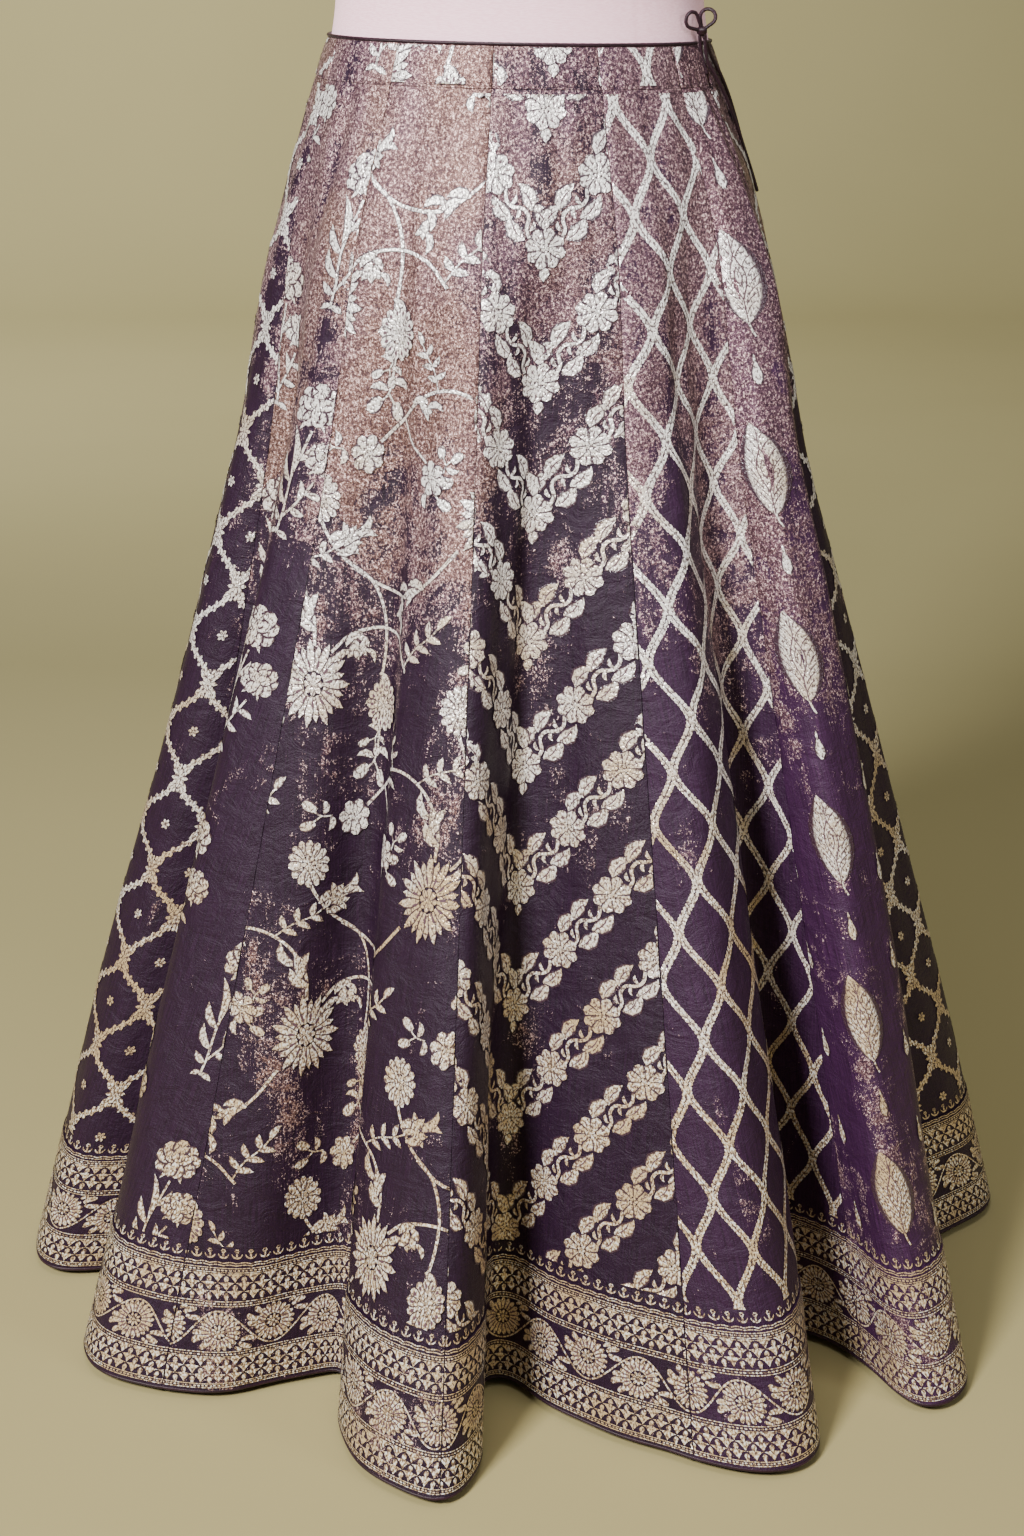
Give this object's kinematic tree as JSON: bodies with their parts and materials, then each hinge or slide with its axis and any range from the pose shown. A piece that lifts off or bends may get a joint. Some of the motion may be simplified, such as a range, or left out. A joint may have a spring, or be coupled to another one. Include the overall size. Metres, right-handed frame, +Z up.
{
  "type": "lehenga skirt on dress form",
  "caption": "Floor-length flared lehenga skirt sewn from tapered brocade kalis, with waistband, woven border and tied side dori, worn on a limbless dress form with stand.",
  "frame": {"origin": "middle of the stand's base on its underside, at floor level", "axes": "+Z up; the skirt's front faces -Y; the tied side opening, on the wearer's left, is on +X"},
  "size_m": [0.8474, 0.8342, 1.523],
  "materials": {
    "tissue_brocade": "dark aubergine metallic tissue with silver-gold zari weave, soft sheen",
    "zari_border": "dense silver-gold zari weave on aubergine, soft metallic sheen",
    "waistband_brocade": "copper-rose metallic tissue with silver zari weave",
    "wine_piping": "dark wine satin piping",
    "wine_cord": "dark wine rolled fabric cord",
    "form_cloth": "pale pink plain woven cover, matt",
    "stand_wood": "stained wood, satin",
    "stand_steel": "brushed"
  },
  "bodies": {
    "root": {"kali_01": "tissue_brocade", "kali_02": "tissue_brocade", "kali_03": "tissue_brocade", "kali_04": "tissue_brocade", "kali_05": "tissue_brocade", "kali_06": "tissue_brocade", "kali_07": "tissue_brocade", "kali_08": "tissue_brocade", "kali_09": "tissue_brocade", "kali_10": "tissue_brocade", "kali_11": "tissue_brocade", "kali_12": "tissue_brocade", "border_01": "zari_border", "border_02": "zari_border", "border_03": "zari_border", "border_04": "zari_border", "border_05": "zari_border", "border_06": "zari_border", "border_07": "zari_border", "border_08": "zari_border", "border_09": "zari_border", "border_10": "zari_border", "border_11": "zari_border", "border_12": "zari_border", "waistband_01": "waistband_brocade", "waistband_02": "waistband_brocade", "waistband_03": "waistband_brocade", "waistband_04": "waistband_brocade", "waistband_05": "waistband_brocade", "waistband_06": "waistband_brocade", "waistband_07": "waistband_brocade", "waistband_08": "waistband_brocade", "waistband_09": "waistband_brocade", "waistband_10": "waistband_brocade", "waistband_11": "waistband_brocade", "waistband_12": "waistband_brocade", "waist_piping": "wine_piping", "hem_piping": "wine_piping", "dori_knot": "wine_cord", "dori_loop_front": "wine_cord", "dori_loop_back": "wine_cord", "dori_stub": "wine_cord", "dori_tail_front": "wine_cord", "dori_tail_back": "wine_cord", "form_torso": "form_cloth", "form_neck_cap": "stand_wood", "form_base": "stand_wood", "form_pole": "stand_steel"}
  },
  "joints": []
}
